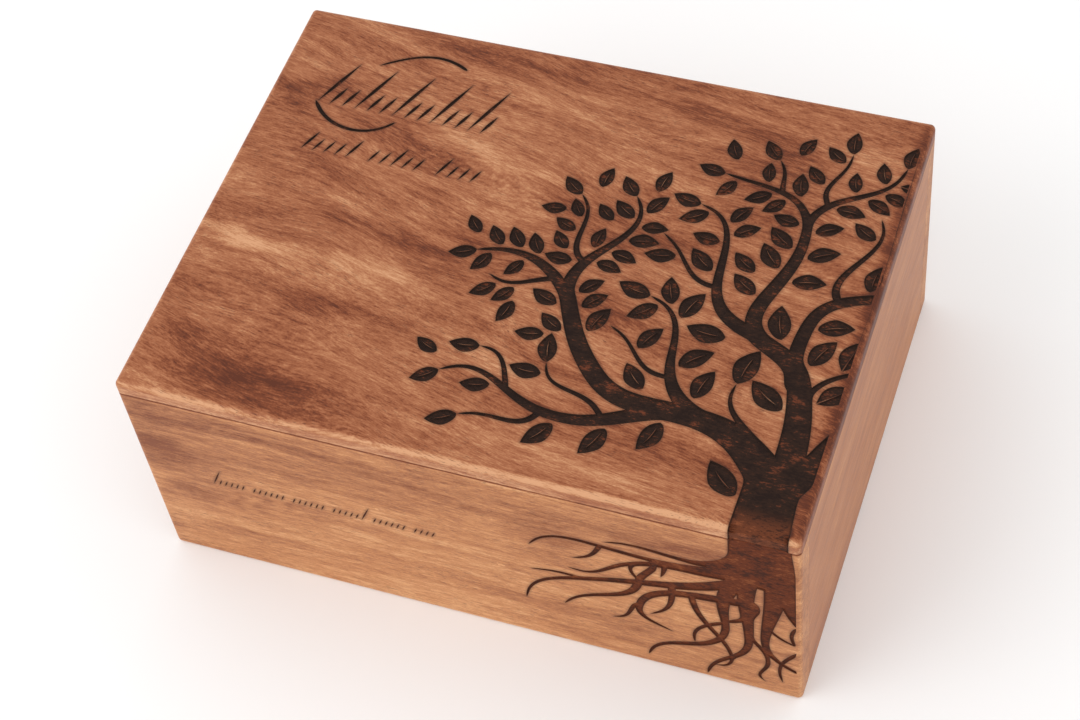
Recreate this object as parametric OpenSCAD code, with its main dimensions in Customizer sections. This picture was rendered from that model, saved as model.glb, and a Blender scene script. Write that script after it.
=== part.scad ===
// Wooden cremation urn: a box of six boards with a loose lid.
// A tree is burnt into the lid; its trunk turns over the front edge and ends in roots on the front.
// Frame: +X to the right along the front, +Y to the back, +Z up, origin under the middle of the foot.

/* [Box] */
// Overall width, along the front
box_w = 254; // [200:1:360]
// Overall depth, front to back
box_d = 192; // [150:1:280]
// Overall height with the lid on
box_h = 108; // [90:1:180]
// Thickness of the four wall boards
wall_t = 10; // [7:0.5:16]
// Thickness of the bottom board
bottom_t = 6; // [4:0.5:12]

/* [Lid] */
// Thickness of the lid that shows above the seam
lid_t = 6.5; // [5:0.5:15]
// Height of the tongue under the lid, which drops into the box
tongue_t = 3; // [2:0.5:8]
// Clearance between the tongue and each wall
tongue_gap = 0.5; // [0.2:0.1:1.5]

/* [Edges] */
// Round-over along the top of the lid
top_round = 2.5; // [1:0.5:4]
// Rounding of the upright corners
corner_round = 2; // [1:0.5:4]
// Rounding along the foot of the box
foot_round = 2; // [1:0.5:4]
// Eased edge on both sides of the seam under the lid
seam_ease = 0.3; // [0.1:0.1:0.8]

/* [Engraving] */
// Depth that the engraving is burnt into the wood
burn = 0.6; // [0.2:0.1:0.8]
// Distance from the right side of the box to the middle of the trunk
trunk_in = 16; // [12:1:80]
// Size of the tree and its roots, as a share of the drawn size
tree_scale = 1; // [0.7:0.05:1.1]
// Length of the largest leaves, near the trunk
leaf_long = 18.5; // [12:0.5:20]
// Length of the smallest leaves, at the outer twigs
leaf_short = 10.5; // [6:0.5:12]
// Width of a leaf as a share of its length
leaf_plump = 0.56; // [0.35:0.01:0.65]
// Width of the raised midrib at the foot of a leaf
midrib_w = 0.45; // [0.3:0.05:0.8]

/* [Rows of strokes] */
// Distance from the left side of the lid to the rows on it
lid_row_in = 21; // [15:1:60]
// Distance from the back of the lid to the foot of the tall row
tall_row_back = 47; // [35:1:80]
// Distance from the back of the lid to the foot of the low row
low_row_back = 71; // [50:1:110]
// Distance from the left side of the front to the row on it
front_row_in = 28; // [10:1:60]
// Distance from the seam down to the foot of the row on the front
front_row_drop = 48; // [20:1:60]

/* [Hidden] */

seam_z = box_h - lid_t; // top of the walls, where the lid rests
inner_w = box_w - 2 * wall_t;
inner_d = box_d - 2 * wall_t;
arc_steps = 6; // facets in a quarter round
over = 2; // how far a cutting shape passes the surface it cuts

// ---------- rounded boards ----------

// Points of a quarter round about c, starting at angle a. One step gives a plain chamfer.
function quarter(c, r, a, steps) =
    [for (i = [0 : steps]) c + r * [cos(a + 90 * i / steps), sin(a + 90 * i / steps)]];

// Outline of a board seen edge on: w wide, from z0 to z1, rounded r1 above and r0 below.
function edge_outline(w, z0, z1, r0, r1, steps0, steps1) = concat(
    quarter([w / 2 - r1, z1 - r1], r1, 0, steps1),
    quarter([-w / 2 + r1, z1 - r1], r1, 90, steps1),
    quarter([-w / 2 + r0, z0 + r0], r0, 180, steps0),
    quarter([w / 2 - r0, z0 + r0], r0, 270, steps0));

// A block with rounded corners, worked along all four sides above and below.
module rounded_block(w, d, z0, z1, r0, r1, steps0, steps1, r_corner) {
    intersection() {
        translate([0, 0, z0 - over])
            linear_extrude(z1 - z0 + 2 * over)
                polygon(edge_outline(w, -d / 2, d / 2, r_corner, r_corner, arc_steps, arc_steps));
        rotate([90, 0, 0])
            linear_extrude(d + 2 * over, center = true)
                polygon(edge_outline(w, z0, z1, r0, r1, steps0, steps1));
        rotate([90, 0, 90])
            linear_extrude(w + 2 * over, center = true)
                polygon(edge_outline(d, z0, z1, r0, r1, steps0, steps1));
    }
}

// The lid's rim, from z0 up, drawn in on all sides by inset.
module lid_block(inset = 0, z0 = seam_z) {
    rounded_block(box_w - 2 * inset, box_d - 2 * inset, z0, box_h - inset,
        seam_ease, top_round - inset, 1, arc_steps, corner_round - inset);
}

// The closed form of the four walls and the bottom together.
module wall_block() {
    rounded_block(box_w, box_d, 0, seam_z, foot_round, seam_ease, arc_steps, 1, corner_round);
}

// ---------- limbs, twigs and roots ----------

// A limb sweeps from one place and heading to another and narrows on the way:
// [x, y, heading, x, y, heading, width, width]. Millimetres and degrees, 0 to the right, 90 up.
// The tree stands on the middle of the trunk, at the front edge of the lid.
trunk = [1.2, -8, 90, 0.5, 24, 90, 21.5, 19];
limbs = [
    trunk,
    // left limb and what grows from it
    [1, 20, 135, -33, 40, 175, 15, 8.2],
    [-33, 40, 175, -73, 49.5, 134, 8.2, 7.2],
    [-73, 49.5, 134, -92.5, 80, 116, 7.2, 6],
    [-93, 80, 100, -85, 104, 52, 5.5, 3],
    [-85, 104, 52, -81, 129, 130, 3, 1.1],
    [-91, 95, 155, -101, 125, 140, 2.6, 1],
    [-92, 79, 130, -130, 91.5, 200, 5.5, 1.1],
    [-97, 86, 190, -122, 81, 150, 2.4, 0.9],
    [-43, 40, 200, -83, 28.3, 174, 6.5, 3.8],
    [-83, 28.3, 174, -125, 37, 215, 3.8, 1],
    [-85.5, 28, 250, -112, 20.5, 205, 2.6, 0.9],
    [-100.5, 35.5, 112, -114, 50, 185, 2.2, 1],
    [-65, 33, 125, -89.7, 48, 100, 2.2, 0.9],
    [-32, 41, 155, -48.5, 66, 95, 6.5, 2.8],
    [-48.5, 66, 95, -62, 86.5, 165, 2.8, 1],
    [-48, 54, 184, -72, 70, 160, 2, 0.9],
    [-11, 37, 140, -23, 56.5, 75, 3, 0.9],
    // middle limb and what grows from it
    [3.5, 26, 92, -1.5, 62, 106, 11, 8.5],
    [-1.5, 62, 106, -22, 79, 150, 8.5, 6.5],
    [-20.5, 78.5, 140, -22, 100, 70, 6.5, 5.3],
    [-22, 100, 70, -18, 136, 100, 5.3, 3.4],
    [-17.5, 132, 105, -52, 148.5, 170, 3.4, 1],
    [-30.5, 145, 105, -34.5, 159, 130, 2.2, 0.9],
    [-17.7, 133, 80, 11, 166, 82, 3.4, 1.1],
    [-13, 143.5, 130, -9.7, 168, 95, 2.2, 0.9],
    [-24, 80, 165, -42, 100, 96, 6, 3.4],
    [-42, 100, 96, -56.5, 132, 168, 3.4, 1],
    [-41.5, 96.5, 185, -66, 115, 150, 2.2, 0.9],
    [-4, 62, 104, -5.5, 88, 82, 6, 5],
    [-5.5, 88, 82, 16, 106, 18, 5, 4],
    [3, 100, 138, 8.3, 140.5, 122, 3.2, 0.9],
    // right limb, cut off by the edge of the lid
    [5, 20, 50, 18, 46, 60, 11, 7],
    [2.5, 60, 65, 15, 72, 30, 2.4, 1.6]
];
// The roots hang from the seam, so their heights are negative.
roots = [
    // foot of the trunk
    [1.6, 4, 270, 2.5, -27, 270, 21.8, 25],
    // roots that run out to the left, from the top down
    [-4.5, -4, 268, -24, -21.5, 188, 9, 2.4],
    [-18, -20.3, 190, -54, -21.5, 200, 2.6, 0.8],
    [-10, -21, 200, -60, -25, 176, 3.4, 1.8],
    [-60, -25, 176, -83.5, -35, 242, 1.8, 0.8],
    [-56.5, -25, 250, -67, -37.5, 200, 2.2, 0.8],
    [-33, -25.8, 268, -34.5, -35.5, 250, 3, 1],
    [-8, -24, 195, -46, -32.5, 208, 6.5, 2.4],
    [-46, -32.5, 208, -69, -45.5, 165, 2.4, 0.8],
    [-44, -32, 205, -42, -43, 325, 1.6, 1.2],
    [-37, -31, 245, -43.5, -44, 262, 2.8, 3.2],
    [-43.5, -44, 262, -73, -71.5, 242, 3.4, 0.9],
    [-8, -29, 215, -58, -48.5, 200, 6, 2.6],
    [-58, -48.5, 200, -88.5, -74, 262, 2.6, 0.8],
    [-65, -51.5, 165, -84, -52.5, 192, 1.8, 0.7],
    [-6, -41, 190, -44.5, -62, 262, 5, 2.8],
    [-44.5, -62, 262, -33, -73, 335, 2.8, 0.8],
    [-24, -45, 275, -13.5, -71, 300, 2.8, 2],
    [-13.5, -71, 300, -16, -90.5, 182, 2, 0.8],
    [-31, -40, 268, -39.5, -64, 215, 3.2, 0.8],
    [-45.5, -60, 240, -54, -73, 192, 2, 0.8],
    // roots that run down
    [-6, -26, 240, -12, -57, 276, 8, 3.2],
    [-12, -57, 276, -26, -79.5, 200, 3.2, 2.6],
    [-26, -79.5, 200, -42.2, -94, 258, 2.6, 1],
    [-14, -59, 215, -24, -76, 280, 2.2, 1],
    [-3, -25, 262, -3.5, -68, 268, 7.5, 3.2],
    [-3.5, -68, 268, -19.7, -97, 262, 3.2, 1.2],
    [-3, -64, 305, 3.5, -80, 266, 2, 1.8],
    [3.5, -80, 266, 1.5, -93, 330, 1.8, 0.8],
    [7, -25, 268, 2.5, -62, 264, 9, 3.4],
    [2.5, -62, 264, 16, -82.5, 335, 3.4, 1.4],
    [16, -66, 230, 8.5, -90, 285, 2, 1],
    [-3, -38, 340, -10, -56, 205, 2.8, 2.2],
    // roots that run off to the right
    [10, -24, 280, 17, -50, 300, 8, 4],
    [14, -50, 240, 13.5, -62, 290, 1.8, 1.2],
    [5, -56, 310, 14, -62, 345, 1.4, 1]
];
sweep_pull = 0.42; // how firmly a limb keeps its headings, as a share of its length
limb_step = 5.5; // length of limb between two points of its outline
tip_max = 1.5; // longest point on the end of a limb
notch_w = 0.5; // gaps narrower than this burn shut where limbs part

function dir(a) = [cos(a), sin(a)];
function start_of(l) = tree_scale * [l[0], l[1]];
function end_of(l) = tree_scale * [l[3], l[4]];
function span_of(l) = norm(end_of(l) - start_of(l));
function steps_of(l) = max(5, ceil(span_of(l) / limb_step) + 1);

// Point t of the way along a limb, t from 0 to 1: a cubic curve through its two ends.
function limb_point(l, t) =
    let (a = start_of(l), b = end_of(l), pull = sweep_pull * span_of(l))
    pow(1 - t, 3) * a + 3 * pow(1 - t, 2) * t * (a + pull * dir(l[2]))
    + 3 * (1 - t) * t * t * (b - pull * dir(l[5])) + pow(t, 3) * b;

// Heading and half width at t.
function limb_heading(l, t) =
    let (e = 0.01, a = limb_point(l, max(0, t - e)), b = limb_point(l, min(1, t + e)))
    atan2(b[1] - a[1], b[0] - a[0]);
function limb_half(l, t) = tree_scale * (l[6] + (l[7] - l[6]) * t) / 2;

// Outline of a limb: both banks, a round end inside the limb it grows from and a pointed tip.
function limb_bank(l, side) =
    let (n = steps_of(l))
    [for (i = [0 : n])
        limb_point(l, i / n) + side * limb_half(l, i / n) * dir(limb_heading(l, i / n) + 90)];
function reversed(list) = [for (i = [len(list) - 1 : -1 : 0]) list[i]];
function limb_outline(l) = concat(
    [for (a = [135 : 45 : 225]) start_of(l) + limb_half(l, 0) * dir(l[2] + a)],
    limb_bank(l, -1),
    [end_of(l) + min(2 * limb_half(l, 1), tip_max) * dir(l[5])],
    reversed(limb_bank(l, 1)));

// All limbs of a list as one burnt area, inside the window given as [x0, y0, x1, y1].
module limb_network(list, window) {
    offset(delta = -notch_w / 2)
        offset(delta = notch_w / 2)
            intersection() {
                union() {
                    for (l = list)
                        polygon(limb_outline(l));
                }
                window_area(window);
            }
}

module window_area(window) {
    translate([window[0], window[1]])
        square([window[2] - window[0], window[3] - window[1]]);
}

// ---------- leaves ----------

// A leaf is [x, y of its foot, heading, length].
crown_foot = tree_scale * [0, 30]; // where the limbs part, from which the leaves get smaller
crown_reach = tree_scale * 130;
leaf_gap = 1.1; // bare wood left between two leaves
limb_gap = 0.6; // bare wood left between a leaf and a limb
leaf_turn = 50; // angle between a twig and its side leaves
leaf_sway = 22; // how much that angle varies from leaf to leaf
leaf_pitch = 6.2; // spacing of the places where a leaf may grow
leaf_rows = [1.4, 7.5]; // distance of those places from the twig
low_bare = 15; // no leaf grows lower than this above the front edge
low_crown = 36; // leaves lower than this stand apart
low_gap = 9; // bare wood left around those
leaf_facets = 4; // facets along each side of a leaf
midrib_run = 0.75; // share of the leaf that the midrib runs along

function leaf_size(p) =
    let (far = min(1, norm(p - crown_foot) / crown_reach))
    leaf_long + (leaf_short - leaf_long) * pow(far, 0.9);
function leaf_half(f, t) = f[3] * leaf_plump / 2 * pow(sin(180 * pow(t, 0.85)), 0.9);
function leaf_mid(f, t) =
    [f[0], f[1]] + f[3] * (t * dir(f[2]) + 0.05 * sin(180 * t) * dir(f[2] + 90));

// Round spots that stand for a leaf or a limb when the room between them is measured: [x, y, radius].
function leaf_spots(f) =
    [for (t = [0.12, 0.35, 0.6, 0.85]) concat(leaf_mid(f, t), leaf_half(f, t) * 0.95)];
function limb_spots(l) =
    let (n = 2 * steps_of(l))
    [for (i = [0 : n]) concat(limb_point(l, i / n), limb_half(l, i / n))];

function near(spots, p, reach) =
    [for (s = spots) if (abs(s[0] - p[0]) < reach + s[2] && abs(s[1] - p[1]) < reach + s[2]) s];
function clear_of(spots, others, gap) =
    len([for (s = spots) for (o = others)
        if (norm([s[0] - o[0], s[1] - o[1]]) < s[2] + o[2] + gap) 1]) == 0;
function fits(f, wood, taken) =
    let (mid = leaf_mid(f, 0.5), gap = mid[1] < low_crown ? low_gap : leaf_gap,
        reach = f[3] / 2 + gap, spots = leaf_spots(f))
    mid[1] > low_bare && mid[0] < trunk_in - top_round + f[3] / 5
    && clear_of(spots, near(wood, mid, reach), limb_gap)
    && clear_of(spots, near(taken, mid, reach), gap);

// Places for leaves: one at the tip of each twig, then rows along both sides of each limb.
function tip_places() =
    [for (l = limbs)
        if (l[7] < 1.3)
            let (p = end_of(l) + leaf_rows[0] * dir(l[5]))
            [p[0], p[1], l[5], leaf_size(p)]];
function side_places() =
    [for (row = leaf_rows) for (l = limbs)
        let (n = max(1, round(span_of(l) / leaf_pitch)))
        for (i = [n : -1 : 1]) for (side = [1, -1])
            let (t = (i - (side + 1) / 4) / n, a = limb_heading(l, t),
                p = limb_point(l, t) + side * (limb_half(l, t) + row) * dir(a + 90),
                sway = leaf_sway * sin(137 * i + 71 * side + 40 * p[0]))
            [p[0], p[1], a + side * (leaf_turn + sway), leaf_size(p) * (1 - abs(sway) / 150)]];

// Leaves are set one after another, each where it finds room.
function set_leaves(places, wood, i = 0, placed = [], taken = []) =
    i >= len(places) ? placed :
    fits(places[i], wood, taken)
        ? set_leaves(places, wood, i + 1, concat(placed, [places[i]]),
            concat(taken, leaf_spots(places[i])))
        : set_leaves(places, wood, i + 1, placed, taken);
function crown_leaves() =
    set_leaves(concat(tip_places(), side_places()), [for (l = limbs) for (s = limb_spots(l)) s]);

// Outline of a leaf. Its midrib is a thin wedge of bare wood that enters at the foot.
function leaf_side(f, side) =
    [for (i = [1 : leaf_facets - 1])
        let (t = i / leaf_facets)
        leaf_mid(f, t) + side * leaf_half(f, t) * dir(f[2] + 90)];
function leaf_outline(f) =
    let (foot = [f[0], f[1]], across = midrib_w / 2 * dir(f[2] + 90))
    concat([foot - across], leaf_side(f, -1), [leaf_mid(f, 1)], reversed(leaf_side(f, 1)),
        [foot + across, leaf_mid(f, midrib_run)]);

module leaf_crown(window) {
    offset(delta = 0)
        intersection() {
            union() {
                for (f = crown_leaves())
                    polygon(leaf_outline(f));
            }
            window_area(window);
        }
}

// ---------- rows of strokes ----------

pen_slant = 66; // lean of every stroke, 90 upright

// A pen stroke of height h, widest at its middle, standing on p.
module stroke(p, h, w) {
    n = h > 5 ? 4 : 2;
    up = h / sin(pen_slant) * dir(pen_slant);
    bank = function (side) [for (i = [1 : n - 1])
        p + up * i / n + side * w / 2 * sin(180 * i / n) * dir(pen_slant - 90)];
    polygon(concat([p], bank(1), [p + up], reversed(bank(-1))));
}

// A row of strokes from x = 0 on. Every few strokes one is tall, and the word gaps stay bare.
module stroke_row(length, pitch, low, tall, w, tall_every, gap_every) {
    for (i = [0 : floor(length / pitch)])
        if (i % gap_every != gap_every - 1)
            stroke([i * pitch, 0], i % tall_every == 0 ? tall : low, w);
}

// Two waves of the pen, above and below the tall strokes, written like limbs.
waves = [
    [52, 29, 150, 18, 24, 215, 1.4, 0.8],
    [34, -3, 235, 0, -1, 125, 1, 1.6]
];

module lid_rows() {
    translate([lid_row_in - box_w / 2, box_d / 2 - tall_row_back]) {
        for (l = waves)
            polygon(limb_outline(l));
        stroke_row(69, 5.2, 9, 22, 1.6, 3, 20);
    }
    translate([lid_row_in + 3 - box_w / 2, box_d / 2 - low_row_back])
        stroke_row(73, 4.6, 6, 9, 1.3, 4, 6);
}

module front_row() {
    translate([front_row_in - box_w / 2, seam_z - front_row_drop])
        stroke_row(88, 2.3, 3.4, 9, 0.7, 13, 7);
}

// ---------- engraved areas ----------

tree_x = box_w / 2 - trunk_in;

// Flat of the lid, open at the front so that the trunk runs over the edge, in the tree's own place.
lid_window = [-tree_x - box_w / 2 + top_round, -box_d, trunk_in - top_round,
    box_d - top_round];
// Flat of the front, from the foot's rounding to beyond the seam.
front_window = [-tree_x - box_w / 2 + corner_round, foot_round - seam_z, trunk_in - corner_round,
    over];

module lid_burn() {
    translate([tree_x, -box_d / 2, seam_z - over])
        linear_extrude(lid_t + 2 * over)
            limb_network(limbs, lid_window);
}

// ---------- boards ----------

module wall_board(w, d, x, y) {
    intersection() {
        wall_block();
        translate([x - w / 2, y - d / 2, -over])
            cube([w, d, seam_z + 2 * over]);
    }
}

module lid() {
    color("peru")
        difference() {
            union() {
                lid_block();
                translate([tongue_gap - inner_w / 2, tongue_gap - inner_d / 2, seam_z - tongue_t])
                    cube([inner_w - 2 * tongue_gap, inner_d - 2 * tongue_gap, tongue_t + lid_t / 2]);
            }
            difference() {
                lid_burn();
                lid_block(burn, seam_z - 2 * over);
            }
            translate([0, 0, box_h - burn])
                linear_extrude(burn + over)
                    lid_rows();
            translate([tree_x, -box_d / 2, box_h - burn])
                linear_extrude(burn + over)
                    leaf_crown(lid_window);
        }
}

module front_board() {
    color("sandybrown")
        difference() {
            wall_board(box_w, wall_t, 0, (wall_t - box_d) / 2);
            translate([0, burn - box_d / 2, 0])
                rotate([90, 0, 0])
                    linear_extrude(burn + over)
                        front_row();
            translate([tree_x, burn - box_d / 2, seam_z])
                rotate([90, 0, 0])
                    linear_extrude(burn + over)
                        limb_network(roots, front_window);
        }
}

module back_board() {
    color("sandybrown")
        wall_board(box_w, wall_t, 0, (box_d - wall_t) / 2);
}

module side_board(side) {
    wall_board(wall_t, inner_d, side * (box_w - wall_t) / 2, 0);
}

module left_side() {
    color("rosybrown")
        side_board(-1);
}

module right_side() {
    color("rosybrown")
        side_board(1);
}

module bottom_panel() {
    color("burlywood")
        translate([-inner_w / 2, -inner_d / 2, 0])
            cube([inner_w, inner_d, bottom_t]);
}

lid();
front_board();
back_board();
left_side();
right_side();
bottom_panel();
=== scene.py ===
"""Looks of the wooden urn box: oiled boards, the tree burnt into the lid, its roots, and a pale studio.

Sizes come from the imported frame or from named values. Lengths are in metres, as in the frame, and in
millimetres where the materials are made.
"""

import math

import bmesh
import bpy
import numpy as np
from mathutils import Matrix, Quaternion, Vector, noise
from mathutils.bvhtree import BVHTree
from mathutils.geometry import delaunay_2d_cdt
from numpy.linalg import norm


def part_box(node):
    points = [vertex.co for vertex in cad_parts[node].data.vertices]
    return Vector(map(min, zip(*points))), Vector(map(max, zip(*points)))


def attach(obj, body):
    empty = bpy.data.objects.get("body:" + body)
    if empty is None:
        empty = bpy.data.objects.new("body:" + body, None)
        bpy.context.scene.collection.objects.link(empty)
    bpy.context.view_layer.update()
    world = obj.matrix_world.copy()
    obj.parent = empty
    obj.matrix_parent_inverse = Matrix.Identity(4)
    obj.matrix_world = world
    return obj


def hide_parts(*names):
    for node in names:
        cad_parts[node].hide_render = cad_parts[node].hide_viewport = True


MM = 0.001

# ---------- the frame ----------

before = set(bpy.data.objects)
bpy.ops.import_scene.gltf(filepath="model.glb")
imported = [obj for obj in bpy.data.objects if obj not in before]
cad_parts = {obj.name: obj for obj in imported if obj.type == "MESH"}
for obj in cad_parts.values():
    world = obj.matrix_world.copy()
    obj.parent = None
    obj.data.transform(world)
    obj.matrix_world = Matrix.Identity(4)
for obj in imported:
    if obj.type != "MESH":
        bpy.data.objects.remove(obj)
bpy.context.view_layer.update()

lid_lo, lid_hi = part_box("lid")
front_lo, front_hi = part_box("front_board")
bottom_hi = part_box("bottom_panel")[1]

HALF_W = lid_hi.x
HALF_D = lid_hi.y
TOP = lid_hi.z
SEAM = front_hi.z
TONGUE = lid_lo.z
WALL = front_hi.y - front_lo.y

# Roundings and the engraving.
TOP_ROUND = 2.5 * MM
CORNER = 2 * MM
FOOT = 2 * MM
EASE = 0.3 * MM
TONGUE_GAP = 0.5 * MM
BURN = 0.6 * MM
JOINT_EASE = 0.12 * MM  # eased edges where two boards meet

ARC_STEPS = 8  # facets in a quarter round
EASE_STEPS = 2  # facets in the small easing at the seam
OUTLINE_STEP = 0.6 * MM  # spacing of points along an outline
OUTLINE_CORNER = math.radians(48)  # a sharper turn stays a corner
OUTLINE_ROUNDS = 14  # smoothing rounds along an outline
LEAF_ROUNDS = 1  # the same along a leaf, whose points already lie on its curve
FEWEST_STEPS = 3  # in a run between two corners
SHORT_RUN = 6  # a run of no more steps gets only SHORT_ROUNDS
SHORT_ROUNDS = 2
JOG = 1.6 * MM  # turns nearer than this that cancel out are no corners
MIDRIB_FOOT = 0.8 * MM  # a notch with a narrower mouth is a leaf's midrib
MIDRIB_REACH = 4 * MIDRIB_FOOT  # and its tip lies further in than this
MIDRIB_FROM = 0.22  # share of the midrib left off at the foot
MIDRIB_PLUMP = 0.028  # width of a midrib as a share of its length
MIDRIB_LEAN = 0.8  # under 1, it is widest nearer the foot
MIDRIB_BOW = 0.03  # how far it bows, as a share of its length
MIDRIB_POINTS = 9  # points along each side of it
SLOPE = 0.42 * MM  # width of the slope from a rim to the burnt floor
SLOPE_RINGS = (0.14 * MM, 0.40 * MM)  # rings of points on that slope
HAIR = 0.3 * SLOPE_RINGS[0]  # a small way off a rim or an edge
RING_CLEAR = 0.85  # share of its ring's width that a point keeps from every rim
ROW_STEP = 0.87  # from one row of points to the next, in steps
FLOOR_STEP = 0.9 * MM  # spacing of points on a burnt floor
FLOOR_CLEAR = SLOPE_RINGS[1] + 0.3 * FLOOR_STEP  # how far from a rim they begin
WOOD_STEP = 4 * MM  # spacing of points on bare wood
SEARED = 0.28 * MM  # width of the dark line outside a rim
SCORCHED = 1.3 * MM  # width of the browned wood outside a rim
SCORCH_STEP = 0.9 * MM  # spacing of points on browned wood
SCORCH_END = SCORCHED + SCORCH_STEP  # where they end
FLOOR_RELIEF = 0.09 * MM  # how uneven the burnt floor is
FIBRE = (5 * MM, 0.9 * MM)  # length and width of the fibres on it
FIBRE_SHARE = 0.6  # their share of the relief; lumps make up the rest
LUMP = 2.2 * MM  # size of those lumps
LUMP_PLANE = 7.0  # they come from another plane of the noise
SHORE_FAR = 9 * MM  # stands for the distance to a rim where there is none
SHARP = math.radians(32)  # a sharper fold keeps its edge in the shading
SKIN = 0.1 * MM  # a point less deep than this lies on the outer surface
BURNT_WALL = BURN * 0.75  # a face that reaches deeper is a wall of the engraving
PAST_EASE = 1.01 * EASE  # just past the easing at the seam
WELD = 0.002 * MM  # points nearer than this are one
ON_LINE = 1e-6  # a point this near to a line lies on it
SAME_POINT = 1e-7  # the same for two points of a flat mesh


def new_object(name, data):
    thing = bpy.data.objects.new(name, data)
    bpy.context.scene.collection.objects.link(thing)
    return thing


# ---------- sections of the boards ----------


def corner_depth(a, b, r):
    """Depth below a rounded edge of a point that lies a and b below its two faces."""
    if a < r and b < r:
        return r - math.hypot(r - a, r - b)
    return min(a, b)


def lid_depth(p):
    """Depth of a point below the lid's outer surface as it was before it was engraved."""
    dx, dy, dz = HALF_W - abs(p[0]), HALF_D - abs(p[1]), TOP - p[2]
    rounds = ((dx, dz, TOP_ROUND), (dy, dz, TOP_ROUND), (dx, dy, CORNER))
    return min(corner_depth(a, b, r) for a, b, r in rounds)


def front_depth(p):
    """The same for the front board."""
    dx, dy, dz = HALF_W - abs(p[0]), p[1] + HALF_D, p[2]
    return min(corner_depth(dx, dy, CORNER), corner_depth(dy, dz, FOOT))


def arc(centre, r, start, turn, steps):
    """Points of a round in the y-z plane, from start degrees on, without its first point."""
    angles = [math.radians(start + turn * i / steps) for i in range(1, steps + 1)]
    return [(centre[0] + r * math.cos(a), centre[1] + r * math.sin(a)) for a in angles]


class Section:
    """The section of a board's face: a chain of points (y, z), and the way into the wood at each.

    v is the distance along the chain, and 0 at the point numbered zero.
    """

    def __init__(self, points, sinks, zero):
        self.points = np.array(points)
        self.sinks = np.array(sinks)
        steps = norm(np.diff(self.points, axis=0), axis=1)
        self.v = np.concatenate(([0.0], np.cumsum(steps)))
        self.v -= self.v[zero]

    def along(self, chain, v):
        """What a chain of points or of ways into the wood says at v."""
        return np.array([np.interp(v, self.v, chain[:, k]) for k in (0, 1)])

    def flatten(self, y, z):
        """v of the place on the chain nearest to a point."""
        a, b = self.points[:-1], self.points[1:]
        run = b - a
        t = np.clip(((np.array((y, z)) - a) * run).sum(1) / (run * run).sum(1), 0, 1)
        gap = norm(a + run * t[:, None] - (y, z), axis=1)
        i = int(gap.argmin())
        return self.v[i] + t[i] * (self.v[i + 1] - self.v[i])

    def point(self, x, v, depth):
        """The point in space at x and v, sunk by depth."""
        way = self.along(self.sinks, v)
        return Vector((x, *(self.along(self.points, v) + depth * (way / norm(way)))))


def quarter(steps):
    return [math.pi / 2 * i / steps for i in range(steps + 1)]


def lid_section():
    """From the edge of the underside, up the front rim and over the round, and back along the top."""
    rim = [(-HALF_D + EASE, SEAM)]
    rim += arc((-HALF_D + EASE, SEAM + EASE), EASE, 270, -90, EASE_STEPS)
    rim += [(-HALF_D, TOP - TOP_ROUND)]
    top = arc((-HALF_D + TOP_ROUND, TOP - TOP_ROUND), TOP_ROUND, 180, -90, ARC_STEPS)
    round_sinks = [(math.cos(a), -math.sin(a)) for a in quarter(ARC_STEPS)[1:]]
    sinks = [(1, 0)] * len(rim) + round_sinks + [(0, -1)]
    points = rim + top + [(HALF_D - TOP_ROUND, TOP)]
    return Section(points, sinks, zero=len(points) - 2)


def front_section():
    """From the top of the foot's rounding up the front, and over the eased edge at the seam."""
    points = [(-HALF_D, FOOT), (-HALF_D, SEAM - EASE)]
    points += arc((-HALF_D + EASE, SEAM - EASE), EASE, 180, -90, EASE_STEPS)
    return Section(points, [(1, 0)] * len(points), zero=1)


# ---------- engraved outlines, from the frame ----------


def welded(node):
    """Points and faces of a CAD node, with the points that lie together made one."""
    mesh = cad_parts[node].data
    points = np.array([v.co for v in mesh.vertices])
    keys = np.round(points / (0.5 * WELD)).astype(np.int64)
    _, first, same = np.unique(keys, axis=0, return_index=True, return_inverse=True)
    same = same.reshape(-1)
    return points[first], [tuple(int(same[i]) for i in p.vertices) for p in mesh.polygons]


def edges_of(face):
    """The edges of a face, each with its lower number first."""
    return [(min(a, b), max(a, b)) for a, b in zip(face, face[1:] + face[:1])]


def rims(node, depth, keep):
    """The rims of a CAD node's engraving, as chains of points. keep says whether an edge counts."""
    points, faces = welded(node)
    deep = [depth(p) for p in points]
    beside = {}
    for face in faces:
        deepest = max(deep[i] for i in face)
        for edge in edges_of(face):
            beside.setdefault(edge, []).append(deepest)
    links = {}
    for (a, b), depths in beside.items():
        on_rim = min(depths) < SKIN and max(depths) > BURNT_WALL
        if on_rim and max(deep[a], deep[b]) < SKIN and keep(points[a], points[b]):
            links.setdefault(a, []).append(b)
            links.setdefault(b, []).append(a)
    return [[points[i] for i in chain] for chain in chains_of(links)]


def chains_of(links):
    """Walks every link once. Open chains come first, and a closed one ends where it starts."""
    chains = []
    starts = [i for i, ends in links.items() if len(ends) == 1] + list(links)
    for start in starts:
        while links[start]:
            chain = [start]
            while links[chain[-1]]:
                here = chain[-1]
                after = links[here].pop()
                links[after].remove(here)
                chain.append(after)
            chains.append(chain)
    return chains


def turns_of(line):
    """The turn at each inner point of a line, in radians, positive to the left."""
    run = np.diff(line, axis=0)
    headings = np.arctan2(run[:, 1], run[:, 0])
    return (np.diff(headings) + math.pi) % (2 * math.pi) - math.pi


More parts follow.
